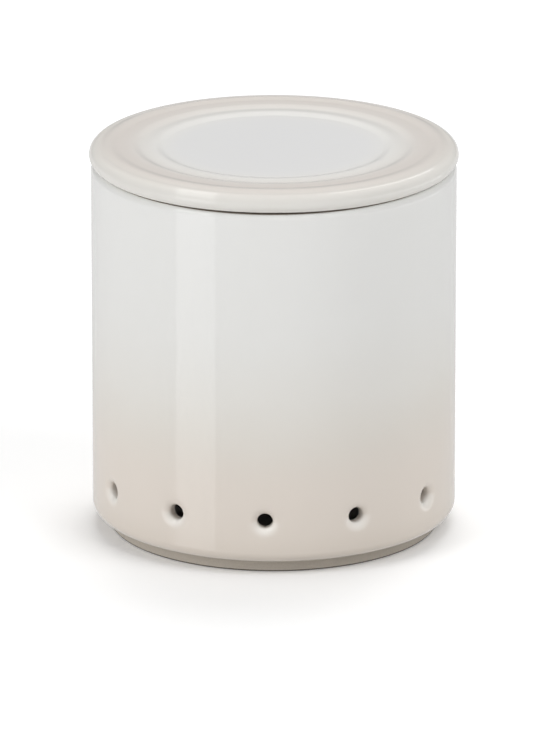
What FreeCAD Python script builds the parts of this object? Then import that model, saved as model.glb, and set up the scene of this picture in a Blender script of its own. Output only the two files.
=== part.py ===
import FreeCAD, Part
import math
import os

# Garlic keeper: a glazed stoneware jar with a ring of vent holes, and a loose lid.
# Sizes are in millimetres. Z is up, and the jar's foot stands on Z = 0 about the Z axis.
# Profiles are drawn as (radius, height) and turned about Z, as on a potter's wheel.

# Jar body
jar_radius = 59.3
jar_height = 121.8
jar_wall = 5.0
base_thickness = 6.0
floor_round = 5.0
rim_outer_round = 2.2
rim_inner_round = 1.2

# Foot ring, bare clay, tucked in under the lower curve of the wall
foot_height = 4.4
foot_tuck = 5.8
foot_width = 7.5
foot_edge_round = 0.5
foot_recess_depth = 3.0
foot_recess_slope = 1.2
lower_curve = 3.6

# Vent holes, one facing -Y and the rest evenly spaced
vent_count = 12
vent_height = 19.5
vent_radius = 2.4
vent_outer_round = 1.9
vent_outer_depth = 1.5
vent_inner_round = 1.2
vent_inner_depth = 0.9

# Lid
lid_overhang = 0.6
lid_edge_round = 3.1
lid_plate = 5.2
skirt_clearance = 0.8
skirt_depth = 8.0
skirt_wall = 4.2
skirt_edge_round = 1.6
recess_corner_round = 3.0

# Rings on the lid's top: soft steps that go down towards a flat middle
ring_count = 3
ring_pitch = 7.4
ring_crown_inset = 7.3
ring_crown_rise = 0.6
ring_drop = 0.38
ring_valley_offset = 3.5
ring_valley_depth = 0.46

# How far a cutting tool runs past the surface that it cuts
tool_overrun = 2.0

inner_radius = jar_radius - jar_wall
floor_height = foot_recess_depth + base_thickness
foot_radius = jar_radius - foot_tuck
lid_radius = jar_radius + lid_overhang


def profilePoint(radius, height):
    return FreeCAD.Vector(radius, 0, height)


def straight(start, end):
    return Part.makeLine(profilePoint(*start), profilePoint(*end))


# A round edge as a few straight bevels between the ends of its arc, angles in degrees from outwards
def bevels(centre, radius, startAngle, endAngle, count):
    corners = []
    for index in range(count + 1):
        turn = math.radians(startAngle + (endAngle - startAngle) * index / count)
        corners.append((centre[0] + radius * math.cos(turn), centre[1] + radius * math.sin(turn)))
    return [straight(start, end) for start, end in zip(corners, corners[1:])]


# The edges in order, with a straight line wherever one ends away from the next
def joined(edges):
    outline = []
    for index, edge in enumerate(edges):
        following = edges[(index + 1) % len(edges)]
        outline.append(edge)
        end = edge.valueAt(edge.LastParameter)
        start = following.valueAt(following.FirstParameter)
        if end.distanceToPoint(start) > 1e-6:
            outline.append(Part.makeLine(end, start))
    return Part.Wire(outline)


def turned(edges):
    face = Part.Face(joined(edges))
    return face.revolve(FreeCAD.Vector(0, 0, 0), FreeCAD.Vector(0, 0, 1), 360)


def jarProfile():
    footInner = foot_radius - foot_width
    recessRadius = footInner - foot_recess_slope
    curveCentre = (jar_radius - lower_curve, foot_height + lower_curve)
    rimCentre = (jar_radius - rim_outer_round, jar_height - rim_outer_round)
    innerRimCentre = (inner_radius + rim_inner_round, jar_height - rim_inner_round)
    floorCentre = (inner_radius - floor_round, floor_height + floor_round)
    return [
        straight((0, foot_recess_depth), (recessRadius, foot_recess_depth)),
        straight((footInner, 0), (foot_radius - foot_edge_round, 0)),
        *bevels((foot_radius - foot_edge_round, foot_edge_round), foot_edge_round, -90, 0, 1),
        straight((foot_radius, foot_edge_round), (foot_radius, foot_height)),
        *bevels(curveCentre, lower_curve, -90, 0, 4),
        *bevels(rimCentre, rim_outer_round, 0, 90, 2),
        *bevels(innerRimCentre, rim_inner_round, 90, 180, 1),
        *bevels(floorCentre, floor_round, 0, -90, 2),
        straight((floorCentre[0], floor_height), (0, floor_height)),
    ]


# Solid that cuts one vent along +X: a straight throat with an eased mouth at each end
def ventTool():
    inside = inner_radius - tool_overrun
    outside = jar_radius + tool_overrun
    innerMouth = vent_radius + vent_inner_round
    outerMouth = vent_radius + vent_outer_round
    profile = [
        straight((inside, 0), (inside, innerMouth)),
        *bevels((inner_radius + vent_inner_depth, innerMouth), vent_inner_round, 180, 270, 1),
        *bevels((jar_radius - vent_outer_depth, outerMouth), vent_outer_round, 270, 360, 1),
        straight((outside, outerMouth), (outside, 0)),
    ]
    face = Part.Face(joined(profile))
    tool = face.revolve(FreeCAD.Vector(0, 0, 0), FreeCAD.Vector(1, 0, 0), 360)
    tool.translate(FreeCAD.Vector(0, 0, vent_height))
    return tool


def ventTools():
    tools = []
    for index in range(vent_count):
        tool = ventTool()
        angle = 360 * index / vent_count - 90
        tool.rotate(FreeCAD.Vector(0, 0, 0), FreeCAD.Vector(0, 0, 1), angle)
        tools.append(tool)
    return tools


# The wall's seam is turned to lie midway between two vents
def makeJar():
    blank = turned(jarProfile())
    blank.rotate(FreeCAD.Vector(0, 0, 0), FreeCAD.Vector(0, 0, 1), 180 / vent_count)
    return blank.cut(ventTools())


# Crown and valley of each ring on the lid's top, from the edge inwards
def ringPoints():
    points = [profilePoint(lid_radius - lid_edge_round, jar_height + 2 * lid_edge_round)]
    for index in range(ring_count):
        crownRadius = lid_radius - ring_crown_inset - index * ring_pitch
        crownHeight = jar_height + 2 * lid_edge_round + ring_crown_rise - index * ring_drop
        points.append(profilePoint(crownRadius, crownHeight))
        points.append(profilePoint(crownRadius - ring_valley_offset, crownHeight - ring_valley_depth))
    return points


# Loose lid: its flat underside rests on the rim, and its skirt hangs inside the mouth
def makeLid():
    rings = ringPoints()
    discHeight = rings[-1].z
    ceiling = discHeight - lid_plate
    skirtRadius = inner_radius - skirt_clearance
    skirtInner = skirtRadius - skirt_wall
    skirtFoot = jar_height - skirt_depth
    edgeCentre = (lid_radius - lid_edge_round, jar_height + lid_edge_round)
    outerCorner = (skirtRadius - skirt_edge_round, skirtFoot + skirt_edge_round)
    innerCorner = (skirtInner + skirt_edge_round, skirtFoot + skirt_edge_round)
    recessCorner = (skirtInner - recess_corner_round, ceiling - recess_corner_round)
    return turned([
        straight((0, ceiling), (recessCorner[0], ceiling)),
        *bevels(recessCorner, recess_corner_round, 90, 0, 1),
        *bevels(innerCorner, skirt_edge_round, 180, 270, 1),
        *bevels(outerCorner, skirt_edge_round, 270, 360, 1),
        straight((skirtRadius, jar_height), (edgeCentre[0], jar_height)),
        *bevels(edgeCentre, lid_edge_round, -90, 90, 8),
        *[Part.makeLine(start, end) for start, end in zip(rings, rings[1:])],
        straight((rings[-1].x, discHeight), (0, discHeight)),
    ])


def save(shape, name):
    shape.exportStep("parts/" + name + ".step")
    print(name, "volume %.1f cm3" % (shape.Volume / 1000), "valid" if shape.isValid() else "not valid")


os.makedirs("parts", exist_ok=True)
save(makeJar(), "jar")
save(makeLid(), "lid")
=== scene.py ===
import math
import bpy
import bmesh
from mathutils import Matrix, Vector


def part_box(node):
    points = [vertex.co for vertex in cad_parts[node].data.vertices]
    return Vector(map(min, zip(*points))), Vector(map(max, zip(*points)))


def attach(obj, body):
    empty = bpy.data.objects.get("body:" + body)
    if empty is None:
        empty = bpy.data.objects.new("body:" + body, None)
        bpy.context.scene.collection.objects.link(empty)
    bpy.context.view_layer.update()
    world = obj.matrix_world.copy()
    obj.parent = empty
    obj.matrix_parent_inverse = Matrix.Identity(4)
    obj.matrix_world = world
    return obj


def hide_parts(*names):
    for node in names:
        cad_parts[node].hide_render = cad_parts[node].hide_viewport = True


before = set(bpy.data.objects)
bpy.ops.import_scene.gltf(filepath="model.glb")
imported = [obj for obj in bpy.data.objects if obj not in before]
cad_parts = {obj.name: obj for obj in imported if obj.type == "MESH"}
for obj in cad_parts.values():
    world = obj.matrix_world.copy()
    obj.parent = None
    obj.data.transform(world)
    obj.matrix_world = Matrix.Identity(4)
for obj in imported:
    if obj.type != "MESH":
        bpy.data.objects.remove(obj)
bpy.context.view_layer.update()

# A glazed stoneware garlic keeper: a jar with vents near its foot, and a loose lid with soft rings.
# Profiles are (radius, height) in millimetres, like a potter's template, and meshes are in metres.

mm = 0.001
hair = 0.1                  # millimetres that part a flat stretch from the round beside it
weldDistance = 0.00001      # metres
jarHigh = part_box("jar")[1]
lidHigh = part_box("lid")[1]
jarHeight = jarHigh.z / mm
jarRadius = jarHigh.x / mm
lidRadius = lidHigh.x / mm
print("frame loaded, jar", round(jarHeight, 1), "mm high")


# Shapes that both pieces use

def arcPoints(centre, radius, startAngle, endAngle, steps):
    points = []
    for step in range(steps + 1):
        turn = math.radians(startAngle + (endAngle - startAngle) * step / steps)
        points.append((centre[0] + radius * math.cos(turn), centre[1] + radius * math.sin(turn)))
    return points


# A straight stretch with extra points close to both ends, which keep the shading of a flat face flat
def flatPoints(start, end, guard=0.25, steps=1):
    length = math.dist(start, end)
    shares = [0]
    if length > 4 * guard:
        shares += [guard / length]
        shares += [k / steps for k in range(1, steps)]
        shares += [1 - guard / length]
    shares += [1]
    return [(start[0] + (end[0] - start[0]) * s, start[1] + (end[1] - start[1]) * s) for s in shares]


def turnedPoint(radius, height, angle):
    return (radius * mm * math.cos(angle), radius * mm * math.sin(angle), height * mm)


def bridgeRows(mesh, rows):
    for low, high in zip(rows, rows[1:]):
        for k in range(len(low) - 1):
            mesh.faces.new((low[k], low[k + 1], high[k + 1], high[k]))


# Skin between rows of a profile, turned about Z through the given angles
def latheStrip(mesh, profile, angles):
    rows = []
    for radius, height in profile:
        rows.append([mesh.verts.new(turnedPoint(radius, height, angle)) for angle in angles])
    bridgeRows(mesh, rows)


def linkMesh(mesh, name):
    data = bpy.data.meshes.new(name)
    mesh.to_mesh(data)
    mesh.free()
    piece = bpy.data.objects.new(name, data)
    bpy.context.scene.collection.objects.link(piece)
    return piece


def finishMesh(mesh, name):
    bmesh.ops.remove_doubles(mesh, verts=mesh.verts, dist=weldDistance)
    bmesh.ops.recalc_face_normals(mesh, faces=mesh.faces)
    for face in mesh.faces:
        face.smooth = True
    return linkMesh(mesh, name)


# Jar

jar = {
    "wall": 5.0,
    "rimRound": 2.2,
    "rimInnerRound": 1.2,
    "floorHeight": 9.0,
    "floorRound": 5.0,
    "footRadius": 53.5,
    "footWidth": 7.5,
    "footHeight": 4.4,
    "footRecess": 3.0,
    "footEdge": 0.5,
    "footFillet": 0.4,              # where the foot meets the wall's lower curve
    "footStep": 0.3,
    "recessSlope": 1.2,             # how far inside the foot the recess begins to slope down
    "recessEase": 0.2,
    "lowerCurve": 3.6,
    "curveRunOut": 0.8,
    "ventCount": 12,
    "ventHeight": 18.6,
    "ventRadius": 2.5,
    "ventLip": (2.9, 1.9),          # width and depth of the soft mouth outside
    "ventInnerLip": (1.3, 1.0),
    # How far the painted highlight spreads out from a vent's edge, in millimetres
    "paintedLipLightWidth": 3.4,
    "ventBand": (10.5, 28.5),       # heights between which the wall is laid out round a vent
    "ventInnerBand": (14.3, 28.5),
    "columns": 16,                  # mesh columns in one vent's share of the wall
    "bandRows": 12,
    "mouthSteps": 9,
    "wallShares": (0.12, 0.3, 0.52, 0.76, 1.0),     # rings between a mouth and the edge of its share
}


def outerWallProfile():
    curveCentre = (jarRadius - jar["lowerCurve"], jar["footHeight"] + jar["lowerCurve"])
    footOuter = jar["footRadius"]
    footInner = footOuter - jar["footWidth"]
    edge, fillet, step = jar["footEdge"], jar["footFillet"], jar["footStep"]
    recess, ease = jar["footRecess"], jar["recessEase"]
    slope = footInner - jar["recessSlope"]
    points = flatPoints((0, recess), (slope, recess), steps=6)
    points += flatPoints((slope + ease, recess - ease), (footInner - ease, step))
    points += flatPoints((footInner + step, 0), (footOuter - edge, 0))
    points += arcPoints((footOuter - edge, edge), edge, -90, 0, steps=5)
    points += flatPoints((footOuter, edge + hair), (footOuter, jar["footHeight"] - fillet - hair))
    points += arcPoints((footOuter + fillet, jar["footHeight"] - fillet), fillet, 180, 90, steps=4)
    points += arcPoints(curveCentre, jar["lowerCurve"], -90, 0, steps=10)
    points += [(jarRadius, curveCentre[1] + jar["curveRunOut"]), (jarRadius, jar["ventBand"][0])]
    return points


def upperWallProfile():
    rimCentre = (jarRadius - jar["rimRound"], jarHeight - jar["rimRound"])
    innerRadius = jarRadius - jar["wall"]
    innerCentre = (innerRadius + jar["rimInnerRound"], jarHeight - jar["rimInnerRound"])
    points = flatPoints((jarRadius, jar["ventBand"][1]), (jarRadius, rimCentre[1]), steps=8)
    points += arcPoints(rimCentre, jar["rimRound"], 0, 90, steps=10)
    points += arcPoints(innerCentre, jar["rimInnerRound"], 90, 180, steps=6)
    points += flatPoints((innerRadius, innerCentre[1]), (innerRadius, jar["ventInnerBand"][1]), steps=8)
    return points


def floorProfile():
    innerRadius = jarRadius - jar["wall"]
    centre = (innerRadius - jar["floorRound"], jar["floorHeight"] + jar["floorRound"])
    points = [(innerRadius, jar["ventInnerBand"][0])]
    points += arcPoints(centre, jar["floorRound"], 0, -90, steps=8)
    points += flatPoints((centre[0], jar["floorHeight"]), (0, jar["floorHeight"]), steps=6)
    return points


# Once round the edge of a vent's share of the wall: from -1 to 1 across it and from 0 to 1 up it
def shareOutline():
    columns, rows = jar["columns"], jar["bandRows"]
    outline = [(-1 + 2 * k / columns, 0) for k in range(columns)]
    outline += [(1, k / rows) for k in range(rows)]
    outline += [(1 - 2 * k / columns, 1) for k in range(columns)]
    outline += [(-1, 1 - k / rows) for k in range(rows)]
    return outline


# Rings that start as the vent's circle and end as the edge of its share, as (side, height, sink)
def ventRings(wallRadius, band, lip):
    halfShare = math.pi / jar["ventCount"]
    corners = []
    for across, up in shareOutline():
        corners.append((wallRadius * math.sin(halfShare * across), band[0] + (band[1] - band[0]) * up))
    ways = [math.atan2(height - jar["ventHeight"], side) for side, height in corners]
    width, depth = lip
    rings = []
    for step in range(jar["mouthSteps"] + 1):
        turn = math.pi / 2 * step / jar["mouthSteps"]
        reach = jar["ventRadius"] + width * (1 - math.cos(turn))
        sink = depth * (1 - math.sin(turn))
        ring = []
        for way in ways:
            ring.append((reach * math.cos(way), jar["ventHeight"] + reach * math.sin(way), sink))
        rings.append(ring)
    mouth = rings[-1]
    for share in jar["wallShares"]:
        ring = []
        for start, end in zip(mouth, corners):
            side = start[0] + (end[0] - start[0]) * share
            height = start[1] + (end[1] - start[1]) * share
            ring.append((side, height, 0))
        rings.append(ring)
    return rings


# How much painted highlight the lower half of a vent's mouth gets, from 0 to 1: its lip faces up into the
# light
def paintedLipLightShare(side, height):
    reach = math.hypot(side, height - jar["ventHeight"])
    spread = max(0, 1 - (reach - jar["ventRadius"]) / jar["paintedLipLightWidth"])
    below = max(0, (jar["ventHeight"] - height) / reach)
    return math.sin(math.pi / 2 * spread) ** 2 * math.sqrt(below)


def ventPatch(mesh, paintedLipLight, wallRadius, band, lip, inward):
    rows = []
    for ring in ventRings(wallRadius, band, lip):
        row = []
        for side, height, sink in ring:
            out = math.sqrt(wallRadius ** 2 - side ** 2) + (sink if inward else -sink)
            vert = mesh.verts.new((out * mm, side * mm, height * mm))
            vert[paintedLipLight] = 0 if inward else paintedLipLightShare(side, height)
            row.append(vert)
        row.append(row[0])
        rows.append(row)
    bridgeRows(mesh, rows)
    return rows[0]


def makeJarShare():
    mesh = bmesh.new()
    # How much painted highlight each vertex of a vent's lower lip gets
    paintedLipLight = mesh.verts.layers.float.new("paintedLipLight")
    halfShare = math.pi / jar["ventCount"]
    angles = [halfShare * (-1 + 2 * k / jar["columns"]) for k in range(jar["columns"] + 1)]
    for profile in (outerWallProfile(), upperWallProfile(), floorProfile()):
        latheStrip(mesh, profile, angles)
    innerRadius = jarRadius - jar["wall"]
    outerMouth = ventPatch(mesh, paintedLipLight, jarRadius, jar["ventBand"], jar["ventLip"], False)
    innerMouth = ventPatch(mesh, paintedLipLight, innerRadius, jar["ventInnerBand"], jar["ventInnerLip"], True)
    middle = []
    for outer, inner in zip(outerMouth[:-1], innerMouth[:-1]):
        middle.append(mesh.verts.new((outer.co + inner.co) / 2))
    middle.append(middle[0])
    bridgeRows(mesh, [outerMouth, middle, innerMouth])
    return finishMesh(mesh, "jar_share")


# Geometry nodes that set the jar's share round the axis, once for each vent, and join them
def ventRingTree(material):
    tree = bpy.data.node_groups.new("ventRing", "GeometryNodeTree")
    sockets = tree.interface
    sockets.new_socket("Geometry", in_out="INPUT", socket_type="NodeSocketGeometry")
    sockets.new_socket("Vent count", in_out="INPUT", socket_type="NodeSocketInt")
    sockets.new_socket("Front angle", in_out="INPUT", socket_type="NodeSocketFloat")
    sockets.new_socket("Weld distance", in_out="INPUT", socket_type="NodeSocketFloat")
    sockets.new_socket("Geometry", in_out="OUTPUT", socket_type="NodeSocketGeometry")
    nodes, links = tree.nodes, tree.links
    given = nodes.new("NodeGroupInput")
    result = nodes.new("NodeGroupOutput")
    spots = nodes.new("GeometryNodePoints")
    index = nodes.new("GeometryNodeInputIndex")
    step = nodes.new("ShaderNodeMath")
    step.operation = "DIVIDE"
    step.inputs[0].default_value = 2 * math.pi
    turn = nodes.new("ShaderNodeMath")
    turn.operation = "MULTIPLY_ADD"
    spin = nodes.new("ShaderNodeCombineXYZ")
    copies = nodes.new("GeometryNodeInstanceOnPoints")
    real = nodes.new("GeometryNodeRealizeInstances")
    weld = nodes.new("GeometryNodeMergeByDistance")
    paint = nodes.new("GeometryNodeSetMaterial")
    paint.inputs["Material"].default_value = material
    links.new(given.outputs["Vent count"], spots.inputs["Count"])
    links.new(given.outputs["Vent count"], step.inputs[1])
    links.new(index.outputs[0], turn.inputs[0])
    links.new(step.outputs[0], turn.inputs[1])
    links.new(given.outputs["Front angle"], turn.inputs[2])
    links.new(turn.outputs[0], spin.inputs["Z"])
    links.new(spots.outputs[0], copies.inputs["Points"])
    links.new(given.outputs["Geometry"], copies.inputs["Instance"])
    links.new(spin.outputs[0], copies.inputs["Rotation"])
    links.new(copies.outputs[0], real.inputs[0])
    links.new(real.outputs[0], weld.inputs["Geometry"])
    links.new(given.outputs["Weld distance"], weld.inputs["Distance"])
    links.new(weld.outputs[0], paint.inputs["Geometry"])
    links.new(paint.outputs[0], result.inputs[0])
    return tree


def setInput(modifier, name, value):
    for item in modifier.node_group.interface.items_tree:
        if item.item_type == "SOCKET" and item.in_out == "INPUT" and item.name == name:
            modifier[item.identifier] = value


def makeJar(material):
    share = makeJarShare()
    modifier = share.modifiers.new("ventRing", "NODES")
    modifier.node_group = ventRingTree(material)
    setInput(modifier, "Vent count", jar["ventCount"])
    setInput(modifier, "Front angle", -math.pi / 2)
    setInput(modifier, "Weld distance", weldDistance)
    whole = bpy.data.meshes.new_from_object(share.evaluated_get(bpy.context.evaluated_depsgraph_get()))
    whole.name = "jar_body"
    bpy.data.objects.remove(share)
    mesh = bmesh.new()
    mesh.from_mesh(whole)
    bmesh.ops.recalc_face_normals(mesh, faces=mesh.faces)
    mesh.to_mesh(whole)
    mesh.free()
    piece = bpy.data.objects.new("jar_body", whole)
    bpy.context.scene.collection.objects.link(piece)
    return piece


# Lid

lid = {
    "edgeRound": 3.1,
    "plate": 5.2,
    "skirtRadius": 53.5,
    "skirtDepth": 8.0,
    "skirtWall": 4.2,
    "skirtRound": 1.6,
    "recessRound": 3.0,
    "seatRadius": 54.6,         # the lid rests on the rim inside this, and leaves a thin gap outside it
    "seatStep": 0.3,
    "seatGuard": 0.2,
    "gapTurn": (6, 34),         # degrees of the rolled edge that the gap takes, at the back and the front
    "gapFocus": 4,              # how closely the wider gap keeps to the front
    "ringCount": 3,
    "ringPitch": 7.4,
    "crownInset": 6.4,
    "crownRise": 0.6,
    "ringDrop": 0.38,
    "valleyOffset": 3.5,
    "valleyDepths": (0.36, 0.60, 0.60),     # shallow near the edge
    "waveSteps": 8,
    "discGuard": 0.5,
    "columns": 192,
}


# Crown and valley of each ring, from the rolled edge inwards
def ringTurns():
    edgeTop = jarHeight + 2 * lid["edgeRound"]
    turns = [(lidRadius - lid["edgeRound"], edgeTop)]
    for k in range(lid["ringCount"]):
        radius = lidRadius - lid["crownInset"] - k * lid["ringPitch"]
        height = edgeTop + lid["crownRise"] - k * lid["ringDrop"]
        turns.append((radius, height))
        turns.append((radius - lid["valleyOffset"], height - lid["valleyDepths"][k]))
    return turns


# Soft waves between crowns and valleys
def ringProfile():
    turns = ringTurns()
    points = [turns[0]]
    for start, end in zip(turns, turns[1:]):
        for k in range(1, lid["waveSteps"] + 1):
            share = k / lid["waveSteps"]
            ease = (1 - math.cos(math.pi * share)) / 2
            points.append((start[0] + (end[0] - start[0]) * share, start[1] + (end[1] - start[1]) * ease))
    return points


# From the middle of the underside, down and up round the skirt, out to the edge and over the rings
def lidProfile(gapTurn):
    rings = ringProfile()
    middle = rings[-1]
    ceiling = middle[1] - lid["plate"]
    skirt, corner, step = lid["skirtRadius"], lid["skirtRound"], lid["seatStep"]
    skirtInner = skirt - lid["skirtWall"]
    foot = jarHeight - lid["skirtDepth"] + corner
    recess = (skirtInner - lid["recessRound"], ceiling - lid["recessRound"])
    edgeCentre = (lidRadius - lid["edgeRound"], jarHeight + lid["edgeRound"])
    edge = arcPoints(edgeCentre, lid["edgeRound"], -90 + gapTurn, 90, steps=18)
    gapOuter, gapTop = edge[0]
    points = flatPoints((0, ceiling), (recess[0], ceiling), steps=5)
    points += arcPoints(recess, lid["recessRound"], 90, 0, steps=6)
    points += [(skirtInner, foot)]
    points += arcPoints((skirtInner + corner, foot), corner, 180, 270, steps=6)
    points += arcPoints((skirt - corner, foot), corner, 270, 360, steps=6)
    points += flatPoints((skirt, foot), (skirt, jarHeight - step), steps=2)
    points += flatPoints((skirt + step, jarHeight), (lid["seatRadius"], jarHeight), lid["seatGuard"])
    points += flatPoints((lid["seatRadius"] + step, gapTop), (gapOuter - hair, gapTop), lid["seatGuard"])
    points += edge
    points += rings
    points += flatPoints(middle, (0, middle[1]), lid["discGuard"], steps=6)
    return points


# The gap under the edge is wider at the front, so each column has its own profile
def makeLid(material):
    mesh = bmesh.new()
    narrow, wide = lid["gapTurn"]
    columns = []
    for k in range(lid["columns"] + 1):
        angle = 2 * math.pi * k / lid["columns"]
        front = max(0, -math.sin(angle)) ** lid["gapFocus"]
        profile = lidProfile(narrow + (wide - narrow) * front)
        columns.append([mesh.verts.new(turnedPoint(radius, height, angle)) for radius, height in profile])
    bridgeRows(mesh, columns)
    piece = finishMesh(mesh, "lid_body")
    piece.data.materials.append(material)
    return piece


# Finishes

def colour(red, green, blue):
    channels = []
    for value in (red, green, blue):
        share = value / 255
        channels.append(share / 12.92 if share <= 0.04045 else ((share + 0.055) / 1.055) ** 2.4)
    return (*channels, 1)


def newMaterial(name):
    material = bpy.data.materials.new(name)
    material.use_nodes = True
    material.node_tree.nodes.clear()
    return material, material.node_tree.nodes, material.node_tree.links


def noise(nodes, links, place, scale, detail, seed):
    node = nodes.new("ShaderNodeTexNoise")
    node.noise_dimensions = "4D"
    node.inputs["W"].default_value = seed
    node.inputs["Scale"].default_value = scale
    node.inputs["Detail"].default_value = detail
    links.new(place, node.inputs["Vector"])
    return node.outputs["Fac"]


def compute(nodes, links, operation, *values):
    node = nodes.new("ShaderNodeMath")
    node.operation = operation
    for socket, value in zip(node.inputs, values):
        if isinstance(value, (int, float)):
            socket.default_value = value
        else:
            links.new(value, socket)
    return node.outputs[0]


def mixColour(nodes, links, factor, first, second):
    node = nodes.new("ShaderNodeMix")
    node.data_type = "RGBA"
    for socket, value in ((node.inputs[0], factor), (node.inputs[6], first), (node.inputs[7], second)):
        if isinstance(value, (float, tuple)):
            socket.default_value = value
        else:
            links.new(value, socket)
    return node.outputs[2]


def ramp(nodes, links, value, low, high, stops):
    span = nodes.new("ShaderNodeMapRange")
    span.inputs["From Min"].default_value = low
    span.inputs["From Max"].default_value = high
    links.new(value, span.inputs["Value"])
    node = nodes.new("ShaderNodeValToRGB")
    node.color_ramp.interpolation = "B_SPLINE"
    elements = node.color_ramp.elements
    while len(elements) < len(stops):
        elements.new(0.5)
    for element, (place, tint) in zip(elements, stops):
        element.position = (place - low) / (high - low)
        element.color = tint
    links.new(span.outputs[0], node.inputs[0])
    return node.outputs[0]


# The place on the piece, its separate axes, and its distance from the piece's axis
def objectPlace(nodes, links):
    place = nodes.new("ShaderNodeTexCoord").outputs["Object"]
    axes = nodes.new("ShaderNodeSeparateXYZ")
    links.new(place, axes.inputs[0])
    across = compute(nodes, links, "MULTIPLY", axes.outputs["X"], axes.outputs["X"])
    square = compute(nodes, links, "MULTIPLY_ADD", axes.outputs["Y"], axes.outputs["Y"], across)
    return place, axes, compute(nodes, links, "SQRT", square)


# 1 at the front, falling to 0 at the sides in step with the gap under the lid's edge
def frontShare(nodes, links, axes, radial):
    way = compute(nodes, links, "DIVIDE", axes.outputs["Y"], radial)
    ahead = compute(nodes, links, "MAXIMUM", compute(nodes, links, "MULTIPLY", way, -1), 0)
    return compute(nodes, links, "POWER", ahead, lid["gapFocus"])


# The value with a slow wander, so that colours don't change along a ruled line
def drifted(nodes, links, place, value, glaze):
    broad = noise(nodes, links, place, *glaze["driftNoise"])
    wander = compute(nodes, links, "MULTIPLY_ADD", broad, glaze["drift"], -glaze["drift"] / 2)
    return compute(nodes, links, "ADD", value, wander)


def mottled(nodes, links, place, tint, glaze):
    spots = noise(nodes, links, place, *glaze["mottleNoise"])
    share = compute(nodes, links, "MULTIPLY", spots, glaze["mottleShare"])
    return mixColour(nodes, links, share, tint, glaze["mottle"])


glazeSkin = {
    "ior": 1.5,
    "rippleShine": 0.03,        # how much the ripple changes the roughness
    "bumpStrength": 0.08,
    "bumpDistance": 0.00015,
}


def addSkin(nodes, links, tint, roughness, relief):
    skin = nodes.new("ShaderNodeBsdfPrincipled")
    links.new(tint, skin.inputs["Base Color"])
    links.new(roughness, skin.inputs["Roughness"])
    skin.inputs["IOR"].default_value = glazeSkin["ior"]
    bump = nodes.new("ShaderNodeBump")
    bump.inputs["Strength"].default_value = glazeSkin["bumpStrength"]
    bump.inputs["Distance"].default_value = glazeSkin["bumpDistance"]
    links.new(relief, bump.inputs["Height"])
    links.new(bump.outputs[0], skin.inputs["Normal"])
    output = nodes.new("ShaderNodeOutputMaterial")
    links.new(skin.outputs[0], output.inputs[0])


jarGlaze = {
    # height in metres, colour: warm biscuit showing through at the foot, white towards the rim
    "stops": [
        (0.004, colour(214, 204, 193)),
        (0.012, colour(222, 213, 203)),
        (0.030, colour(221, 212, 203)),
        (0.044, colour(219, 214, 206)),
        (0.060, colour(223, 221, 216)),
        (0.082, colour(226, 226, 224)),
        (0.122, colour(228, 228, 226)),
    ],
    "stopsEnd": 0.125,
    "inside": colour(226, 224, 218),
    "insideShare": 0.75,                # the part of the wall's thickness that takes the inside's colour
    "clay": colour(198, 190, 179),
    "clayGrit": colour(178, 169, 157),
    "clayLine": 0.0046,
    "clayLineDrift": 0.0009,
    "clayRoughness": 0.62,
    "clayRelief": 3.0,
    "paintedContactShadow": colour(92, 86, 77),      # painted contact shadow along the foot's outer edge, where it meets the floor
    "contactLine": 0.0005,
    "seatAndGapShade": colour(156, 146, 134),      # the bare wiped rim that carries the lid, darkened as painted shade for the gap under the lid's edge
    "seatShadeDepth": (0.03, 0.24),          # millimetres of it at the sides, and how many more at the front, where the gap and its painted shade are wider
    "paintedLipLightTint": colour(240, 237, 231),    # painted highlight in the lower half of each vent's mouth, where the lip faces up into the light
    "roughness": 0.045,
    "drift": 0.016,                     # metres that the change of colour wanders up and down
    "mottle": colour(206, 198, 186),
    "mottleShare": 0.05,
    # scale, detail and seed of each noise
    "driftNoise": (14, 2, 1),
    "mottleNoise": (60, 3, 2),
    "lineNoise": (45, 2, 3),
    "gritNoise": (1800, 4, 4),
    "rippleNoise": (260, 2, 5),
}
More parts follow.
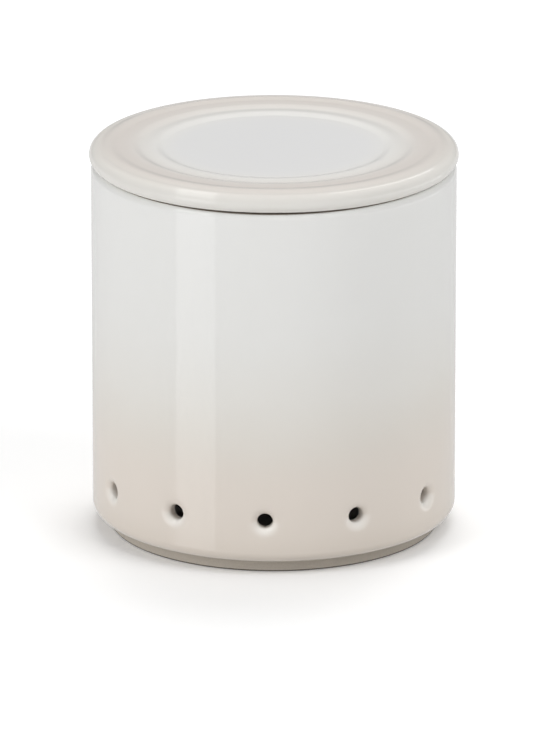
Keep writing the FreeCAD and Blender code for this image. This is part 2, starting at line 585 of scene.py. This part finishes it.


# Glaze over clay: the jar's colours run with height, and below the glaze line the clay is bare; a painted
# highlight in the vents' mouths, painted shade on the rim and a painted contact shadow at the foot are
# added
def makeJarGlaze():
    material, nodes, links = newMaterial("jarGlaze")
    place, axes, radial = objectPlace(nodes, links)
    height = drifted(nodes, links, place, axes.outputs["Z"], jarGlaze)
    outside = ramp(nodes, links, height, 0, jarGlaze["stopsEnd"], jarGlaze["stops"])
    outsideStart = (jarRadius - jarGlaze["insideShare"] * jar["wall"]) * mm
    isOutside = compute(nodes, links, "GREATER_THAN", radial, outsideStart)
    glaze = mixColour(nodes, links, isOutside, jarGlaze["inside"], outside)
    glaze = mottled(nodes, links, place, glaze, jarGlaze)
    # Painted highlight: the lower half of each vent's mouth is made paler, where its lip faces up into the
    # light
    paintedLipLight = nodes.new("ShaderNodeAttribute")
    paintedLipLight.attribute_name = "paintedLipLight"
    glaze = mixColour(nodes, links, paintedLipLight.outputs["Fac"], glaze, jarGlaze["paintedLipLightTint"])
    # Bare rim under the lid, darkened as painted shade for the gap under the lid's edge, reaching further
    # down at the front where the gap is wider
    front = frontShare(nodes, links, axes, radial)
    sideDepth, moreDepth = jarGlaze["seatShadeDepth"]
    seatShadeTop = compute(nodes, links, "MULTIPLY_ADD", front, -moreDepth * mm, (jarHeight - sideDepth) * mm)
    onRim = compute(nodes, links, "GREATER_THAN", axes.outputs["Z"], seatShadeTop)
    glaze = mixColour(nodes, links, onRim, glaze, jarGlaze["seatAndGapShade"])
    grit = noise(nodes, links, place, *jarGlaze["gritNoise"])
    clay = mixColour(nodes, links, grit, jarGlaze["clay"], jarGlaze["clayGrit"])
    # Painted contact shadow: a thin dark band round the lowest half millimetre of the foot's outer edge
    edgeStart = (jar["footRadius"] - jar["footEdge"]) * mm
    atEdge = compute(nodes, links, "GREATER_THAN", radial, edgeStart)
    lowest = compute(nodes, links, "LESS_THAN", axes.outputs["Z"], jarGlaze["contactLine"])
    contactShadowMask = compute(nodes, links, "MULTIPLY", atEdge, lowest)
    clay = mixColour(nodes, links, contactShadowMask, clay, jarGlaze["paintedContactShadow"])
    wobble = noise(nodes, links, place, *jarGlaze["lineNoise"])
    lineDrift = jarGlaze["clayLineDrift"]
    line = compute(nodes, links, "MULTIPLY_ADD", wobble, lineDrift, jarGlaze["clayLine"] - lineDrift / 2)
    bare = compute(nodes, links, "LESS_THAN", axes.outputs["Z"], line)
    tint = mixColour(nodes, links, bare, glaze, clay)
    ripple = noise(nodes, links, place, *jarGlaze["rippleNoise"])
    shine = compute(nodes, links, "MULTIPLY_ADD", ripple, glazeSkin["rippleShine"], jarGlaze["roughness"])
    roughness = compute(nodes, links, "MULTIPLY_ADD", bare, jarGlaze["clayRoughness"], shine)
    bareGrit = compute(nodes, links, "MULTIPLY", bare, grit)
    relief = compute(nodes, links, "MULTIPLY_ADD", bareGrit, jarGlaze["clayRelief"], ripple)
    addSkin(nodes, links, tint, roughness, relief)
    return material


lidGlaze = {
    # distance from the axis in metres, colour: white middle, warm outer band, paler rolled edge
    "stops": [
        (0.0300, colour(221, 221, 221)),
        (0.0360, colour(226, 225, 222)),
        (0.0430, colour(219, 216, 211)),
        (0.0480, colour(212, 205, 199)),
        (0.0540, colour(212, 206, 200)),
        (0.0575, colour(214, 210, 204)),
        (0.0599, colour(224, 222, 217)),
    ],
    "stopsEnd": 0.06,
    "under": colour(224, 222, 216),
    "topLine": 1.2,                     # millimetres above the rim where the upper side's colours start
    "seatAndGapShade": colour(128, 118, 107),      # bare clay where the lid rests, darker and carried out over the gap as painted shade
    "seatLine": 0.6,
    "seatShadeReach": (57.1, 1.3),           # its radius at the sides, and how much more it is at the front, where the painted gap shade reaches further out
    "roughness": 0.055,
    "drift": 0.003,
    "mottle": colour(208, 200, 190),
    "mottleShare": 0.06,
    # scale, detail and seed of each noise
    "driftNoise": (22, 2, 6),
    "mottleNoise": (70, 3, 7),
    "rippleNoise": (240, 2, 8),
}


# The lid's colours run outwards from the middle; its seat is bare clay, darkened and carried out beyond
# where it rests as painted shade for the gap under the edge, furthest at the front
def makeLidGlaze():
    material, nodes, links = newMaterial("lidGlaze")
    place, axes, radial = objectPlace(nodes, links)
    reach = drifted(nodes, links, place, radial, lidGlaze)
    top = ramp(nodes, links, reach, 0, lidGlaze["stopsEnd"], lidGlaze["stops"])
    isTop = compute(nodes, links, "GREATER_THAN", axes.outputs["Z"], (jarHeight + lidGlaze["topLine"]) * mm)
    glaze = mixColour(nodes, links, isTop, lidGlaze["under"], top)
    # Bare seat under the lid, darkened and carried out over the gap as painted shade, further at the front
    isLow = compute(nodes, links, "LESS_THAN", axes.outputs["Z"], (jarHeight + lidGlaze["seatLine"]) * mm)
    front = frontShare(nodes, links, axes, radial)
    sideReach, moreReach = lidGlaze["seatShadeReach"]
    seatEnd = compute(nodes, links, "MULTIPLY_ADD", front, moreReach * mm, sideReach * mm)
    inside = compute(nodes, links, "LESS_THAN", radial, seatEnd)
    outside = compute(nodes, links, "GREATER_THAN", radial, (lid["skirtRadius"] + lid["seatStep"]) * mm)
    between = compute(nodes, links, "MULTIPLY", inside, outside)
    seatAndGapShade = compute(nodes, links, "MULTIPLY", isLow, between)
    glaze = mixColour(nodes, links, seatAndGapShade, glaze, lidGlaze["seatAndGapShade"])
    glaze = mottled(nodes, links, place, glaze, lidGlaze)
    ripple = noise(nodes, links, place, *lidGlaze["rippleNoise"])
    shine = compute(nodes, links, "MULTIPLY_ADD", ripple, glazeSkin["rippleShine"], lidGlaze["roughness"])
    addSkin(nodes, links, glaze, shine, ripple)
    return material


jarPiece = makeJar(makeJarGlaze())
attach(jarPiece, "jar")
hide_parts("jar")
print("jar made,", len(jarPiece.data.polygons), "faces")

lidPiece = makeLid(makeLidGlaze())
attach(lidPiece, "lid")
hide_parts("lid")
print("lid made,", len(lidPiece.data.polygons), "faces")


# Studio

studio = {
    "cameraAzimuth": 2.85,      # degrees from the front, towards +X
    "cameraElevation": 17.63,
    "cameraDistance": 3.0,
    "cameraReach": 20,
    "sensorWidth": 36,
    "targetHeight": 0.060,
    "focalPixels": 9200,
    "frame": (550, 734),
    "targetPixel": (273.88, 344.0),
    "roomLight": 0.42,
    "mirrorLight": 0.42,        # the room as the glaze mirrors it
    "paperMirror": 0.74,        # the bright paper below, as the glaze mirrors it
    "paperMirrorHeight": -1.6,
    "paperMirrorSize": 60,
    "floorSize": 6,
    "floorColour": 0.80,
    "paperColour": 1.0,         # the same floor as the camera sees it
    "floorGlow": 0.05,
    "lampTarget": (0, 0, 0.07),
    # name, degrees from the camera, distance, height, size, watts
    "lamps": [
        ("leftLamp", -56, 1.5, 0.75, (0.7, 1.4), 13),
        ("rightLamp", 54, 1.25, 1.12, (1.0, 1.2), 11.5),
        ("topLamp", 170, 0.9, 1.75, (1.2, 1.2), 18),
    ],
    "panelDistance": 2.5,
    "panelSteps": 12,
    # name, azimuths and elevations of the glaze that mirrors the panel to the camera, strength
    "panels": [
        ("strip0", (-31.8, -18.5), (-5, 1.5), 1.7),
        ("strip1", (-31.8, -18.5), (1.5, 12), 2.3),
        ("strip2", (-31.8, -18.5), (12, 28), 1.2),
        ("strip3", (-31.8, -18.5), (28, 72), 2.4),
        ("rightEdge", (18, 62), (63, 72), 2.2),
        ("rightShoulder", (25, 64), (3, 10), 1.9),
    ],
}


# A place round the object: azimuth 0 is the front, and positive azimuths go towards +X
def around(azimuth, distance, height):
    turn = math.radians(azimuth)
    return Vector((distance * math.sin(turn), -distance * math.cos(turn), height))


def aim(thing, target):
    thing.rotation_euler = (Vector(target) - thing.location).to_track_quat("-Z", "Y").to_euler()


def makeCamera():
    elevation = math.radians(studio["cameraElevation"])
    out = studio["cameraDistance"] * math.cos(elevation)
    up = studio["targetHeight"] + studio["cameraDistance"] * math.sin(elevation)
    data = bpy.data.cameras.new("studioCamera")
    camera = bpy.data.objects.new("studioCamera", data)
    bpy.context.scene.collection.objects.link(camera)
    camera.location = around(studio["cameraAzimuth"], out, up)
    aim(camera, (0, 0, studio["targetHeight"]))
    width, height = studio["frame"]
    data.sensor_width = studio["sensorWidth"]
    data.lens = studio["focalPixels"] / height * data.sensor_width
    data.shift_x = (width / 2 - studio["targetPixel"][0]) / height
    data.shift_y = (studio["targetPixel"][1] - height / 2) / height
    data.clip_end = studio["cameraReach"]
    bpy.context.scene.camera = camera


# The glaze mirrors the panels and not the lamps
def makeLamp(name, azimuth, distance, height, size, watts):
    data = bpy.data.lights.new(name, "AREA")
    data.shape = "RECTANGLE"
    data.size, data.size_y = size
    data.energy = watts
    lamp = bpy.data.objects.new(name, data)
    bpy.context.scene.collection.objects.link(lamp)
    lamp.location = around(studio["cameraAzimuth"] + azimuth, distance, height)
    aim(lamp, studio["lampTarget"])
    lamp.visible_camera = False
    lamp.visible_glossy = False


# A surface that only glossy rays see, so that it glows in the glaze and lights nothing
def glowInGlaze(thing, strength):
    material, nodes, links = newMaterial(thing.name)
    glow = nodes.new("ShaderNodeEmission")
    glow.inputs["Strength"].default_value = strength
    output = nodes.new("ShaderNodeOutputMaterial")
    links.new(glow.outputs[0], output.inputs[0])
    material.cycles.emission_sampling = "NONE"
    thing.data.materials.append(material)
    thing.visible_camera = False
    thing.visible_diffuse = False
    thing.visible_shadow = False


# The way in which a surface that faces (azimuth, elevation) mirrors the camera's look at it
def mirrorWay(azimuth, elevation):
    lift = math.radians(elevation)
    facing = around(studio["cameraAzimuth"] + azimuth, math.cos(lift), math.sin(lift))
    rise = math.radians(studio["cameraElevation"])
    toCamera = around(studio["cameraAzimuth"], math.cos(rise), math.sin(rise))
    return 2 * facing.dot(toCamera) * facing - toCamera


# A glowing panel set where the glaze that faces these ways, seen from the camera, mirrors it
def makePanel(name, azimuths, elevations, strength):
    mesh = bmesh.new()
    steps = studio["panelSteps"]
    rows = []
    for k in range(steps + 1):
        elevation = elevations[0] + (elevations[1] - elevations[0]) * k / steps
        row = []
        for j in range(steps + 1):
            azimuth = azimuths[0] + (azimuths[1] - azimuths[0]) * j / steps
            row.append(mesh.verts.new(mirrorWay(azimuth, elevation) * studio["panelDistance"]))
        rows.append(row)
    bridgeRows(mesh, rows)
    panel = linkMesh(mesh, name)
    panel.location.z = studio["targetHeight"]
    glowInGlaze(panel, strength)


def makeSheet(name, size):
    mesh = bmesh.new()
    bmesh.ops.create_grid(mesh, x_segments=1, y_segments=1, size=size)
    return linkMesh(mesh, name)


# Upright walls mirror bright paper far below, as they would if they stood on an endless sheet of it
def makePaperMirror():
    sheet = makeSheet("paperMirror", studio["paperMirrorSize"])
    sheet.location.z = studio["paperMirrorHeight"]
    glowInGlaze(sheet, studio["paperMirror"])


# 1 for rays of the given kinds and 0 for all others
def rayKinds(nodes, links, *kinds):
    path = nodes.new("ShaderNodeLightPath")
    total = path.outputs[kinds[0]]
    for kind in kinds[1:]:
        total = compute(nodes, links, "MAXIMUM", total, path.outputs[kind])
    return total


def grey(value):
    return (value, value, value, 1)


# Paper that the camera sees in its own white, and that lights the object as a greyer one
def makeFloor():
    floor = makeSheet("floor", studio["floorSize"])
    material, nodes, links = newMaterial("paperFloor")
    matte = nodes.new("ShaderNodeBsdfDiffuse")
    toCamera = rayKinds(nodes, links, "Is Camera Ray")
    paper = mixColour(nodes, links, toCamera, grey(studio["floorColour"]), grey(studio["paperColour"]))
    links.new(paper, matte.inputs["Color"])
    glow = nodes.new("ShaderNodeEmission")
    seen = rayKinds(nodes, links, "Is Camera Ray", "Is Glossy Ray", "Is Transmission Ray")
    links.new(compute(nodes, links, "MULTIPLY", seen, studio["floorGlow"]), glow.inputs["Strength"])
    both = nodes.new("ShaderNodeAddShader")
    links.new(matte.outputs[0], both.inputs[0])
    links.new(glow.outputs[0], both.inputs[1])
    output = nodes.new("ShaderNodeOutputMaterial")
    links.new(both.outputs[0], output.inputs[0])
    floor.data.materials.append(material)
    floor.visible_glossy = False        # the glaze mirrors the panels, which reach below the floor


# White behind the object, and a dim room round it
def makeWorld():
    world = bpy.data.worlds.new("studio")
    world.use_nodes = True
    bpy.context.scene.world = world
    nodes, links = world.node_tree.nodes, world.node_tree.links
    nodes.clear()
    room = nodes.new("ShaderNodeBackground")
    seen = rayKinds(nodes, links, "Is Camera Ray", "Is Transmission Ray")
    mirrored = rayKinds(nodes, links, "Is Glossy Ray")
    roomLight = studio["roomLight"]
    backdrop = compute(nodes, links, "MULTIPLY_ADD", seen, 1 - roomLight, roomLight)
    inGlaze = compute(nodes, links, "MULTIPLY", mirrored, studio["mirrorLight"] - roomLight)
    links.new(compute(nodes, links, "ADD", backdrop, inGlaze), room.inputs["Strength"])
    output = nodes.new("ShaderNodeOutputWorld")
    links.new(room.outputs[0], output.inputs[0])


makeCamera()
makeFloor()
makeWorld()
for name, azimuth, distance, height, size, watts in studio["lamps"]:
    makeLamp(name, azimuth, distance, height, size, watts)
makePaperMirror()
for name, azimuths, elevations, strength in studio["panels"]:
    makePanel(name, azimuths, elevations, strength)
bpy.context.scene.view_settings.view_transform = "Standard"
print("studio ready")
